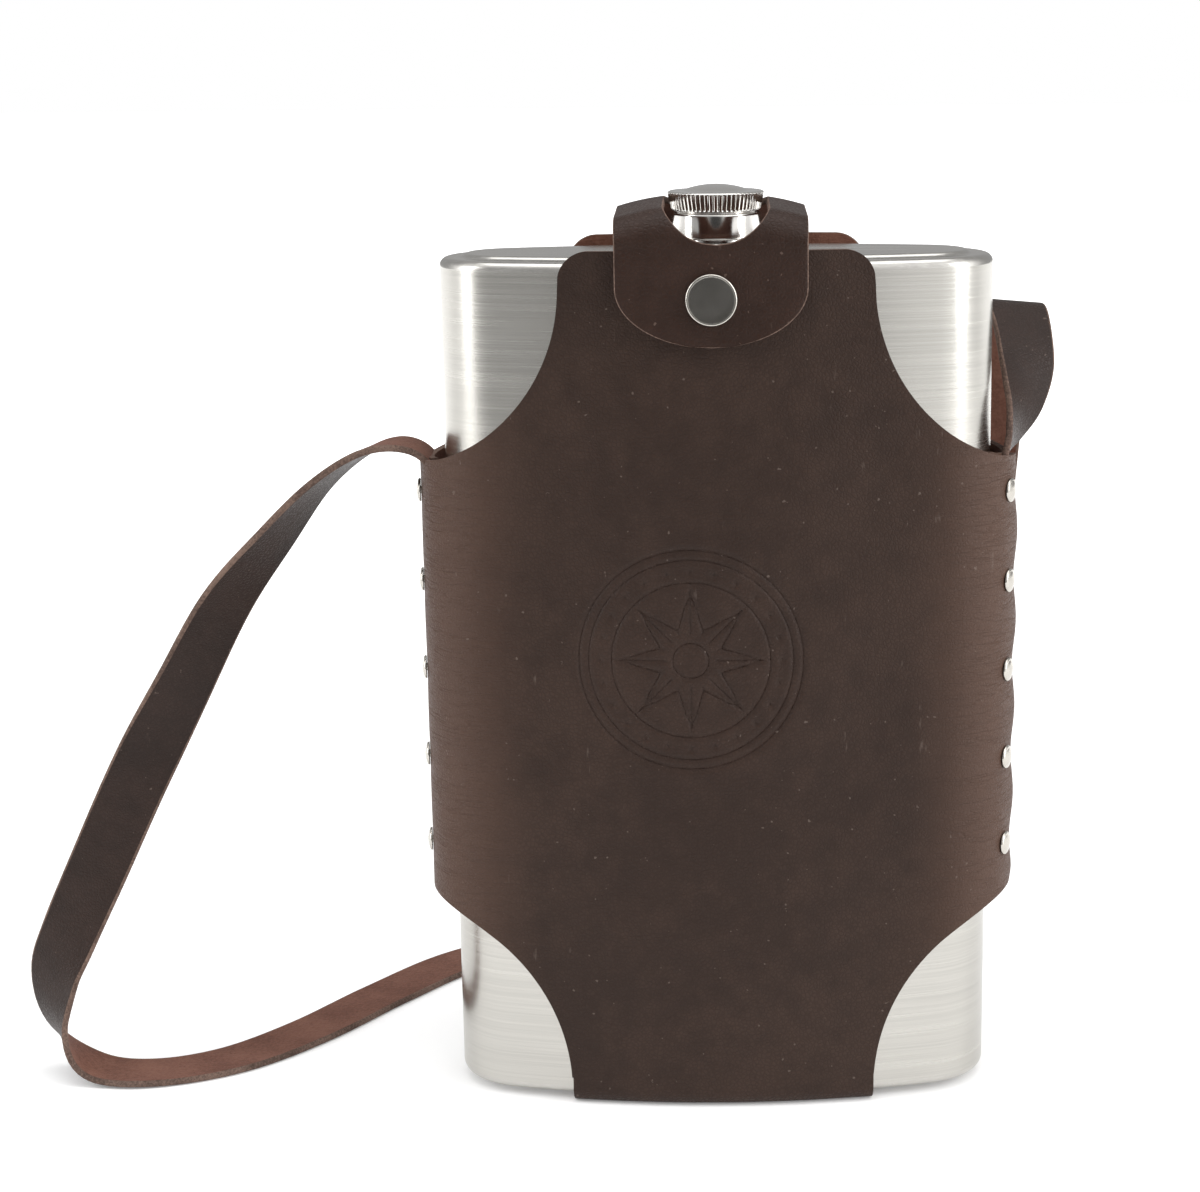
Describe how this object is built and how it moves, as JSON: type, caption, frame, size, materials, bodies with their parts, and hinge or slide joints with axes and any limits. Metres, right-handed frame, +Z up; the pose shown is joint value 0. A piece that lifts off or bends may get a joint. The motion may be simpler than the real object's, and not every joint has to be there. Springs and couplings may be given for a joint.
{
  "type": "flask in leather holster",
  "caption": "Large flat steel flask with a knurled screw cap, in a riveted leather holster with a snap-closed flap and a shoulder strap.",
  "frame": {"origin": "under the middle of the base, on the ground that the leather base strip rests on", "axes": "+Z up, the front with the snap faces -Y, +X to the right as seen from the front"},
  "size_m": [0.3039, 0.161, 0.2624],
  "materials": {
    "brushed_steel": "fine horizontal brushing",
    "polished_steel": "polished",
    "plain_steel": "plain turned",
    "nickel": "satin nickel plate",
    "brown_leather": "dark brown, fine grain, semi-matte",
    "strap_leather": "dark brown grain side, red-brown flesh side",
    "black_rubber": "matte"
  },
  "bodies": {
    "holster_and_flask": {"flask_wall": "brushed_steel", "flask_top": "brushed_steel", "flask_base": "brushed_steel", "neck_tube": "polished_steel", "neck_collar": "polished_steel", "front_panel": "brown_leather", "back_panel": "brown_leather", "base_strip": "brown_leather", "snap_stud": "nickel", "snap_post": "nickel", "right_rivet_caps": "nickel", "right_rivet_backs": "nickel", "left_rivet_caps": "nickel", "left_rivet_backs": "nickel", "shoulder_strap": "strap_leather"},
    "flap": {"closure_flap": "brown_leather", "snap_cap": "nickel", "snap_socket": "nickel"},
    "cap_seal": {"cap_gasket": "black_rubber"},
    "cap_core": {"cap_insert": "plain_steel"},
    "cap": {"cap_shell": "polished_steel"}
  },
  "joints": [
    {"name": "flap_open", "type": "hinge", "parent": "holster_and_flask", "child": "flap", "pos_m": [0, 0.0307, 0.24715], "axis": [-1, 0, 0], "range_deg": [0, 180]},
    {"name": "cap_lift_off", "type": "slide", "parent": "holster_and_flask", "child": "cap_seal", "axis": [0, 0, 1], "range_m": [0, 0.06]},
    {"name": "cap_rise", "type": "slide", "parent": "cap_seal", "child": "cap_core", "axis": [0, 0, 1], "range_m": [0, 0.006]},
    {"name": "cap_turn", "type": "hinge", "parent": "cap_core", "child": "cap", "pos_m": [0, 0, 0.244], "axis": [0, 0, 1], "range_deg": [0, 720]}
  ],
  "couplings": [
    {"joint": "cap_rise", "follows": "cap_turn", "m_per_rad": 0.00047746}
  ]
}
